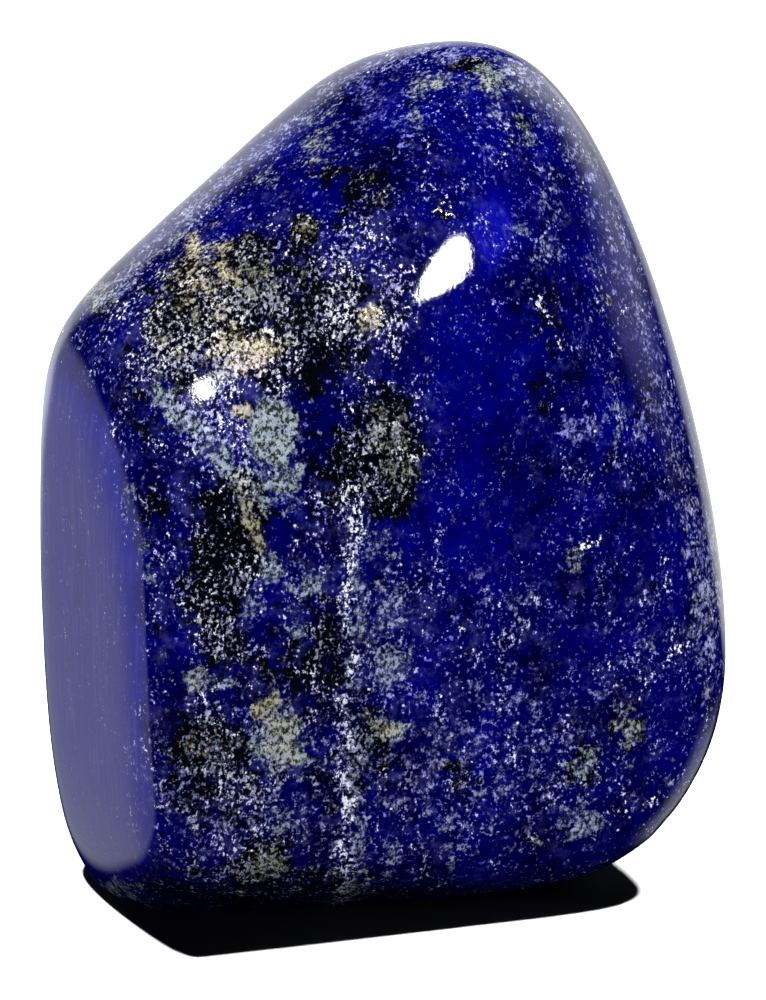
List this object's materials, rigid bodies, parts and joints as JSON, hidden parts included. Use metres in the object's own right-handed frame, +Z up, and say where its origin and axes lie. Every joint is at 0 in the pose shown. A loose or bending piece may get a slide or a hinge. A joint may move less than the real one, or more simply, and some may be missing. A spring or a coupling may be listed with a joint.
{
  "type": "polished lapis lazuli stone",
  "caption": "Tumbled and polished lapis lazuli pebble, a rounded wedge with a flat left side and a slanted shoulder, standing upright on a small flat spot.",
  "frame": {"origin": "on the surface the stone stands on, under the middle of its length and width", "axes": "+Z up along the stone's height, +X to its right as its best side is looked at, -Y out of that side towards the viewer"},
  "size_m": [0.0222, 0.0142, 0.0287],
  "materials": {
    "lapis": "polished"
  },
  "bodies": {
    "root": {"lapis_stone": "lapis"}
  },
  "joints": []
}
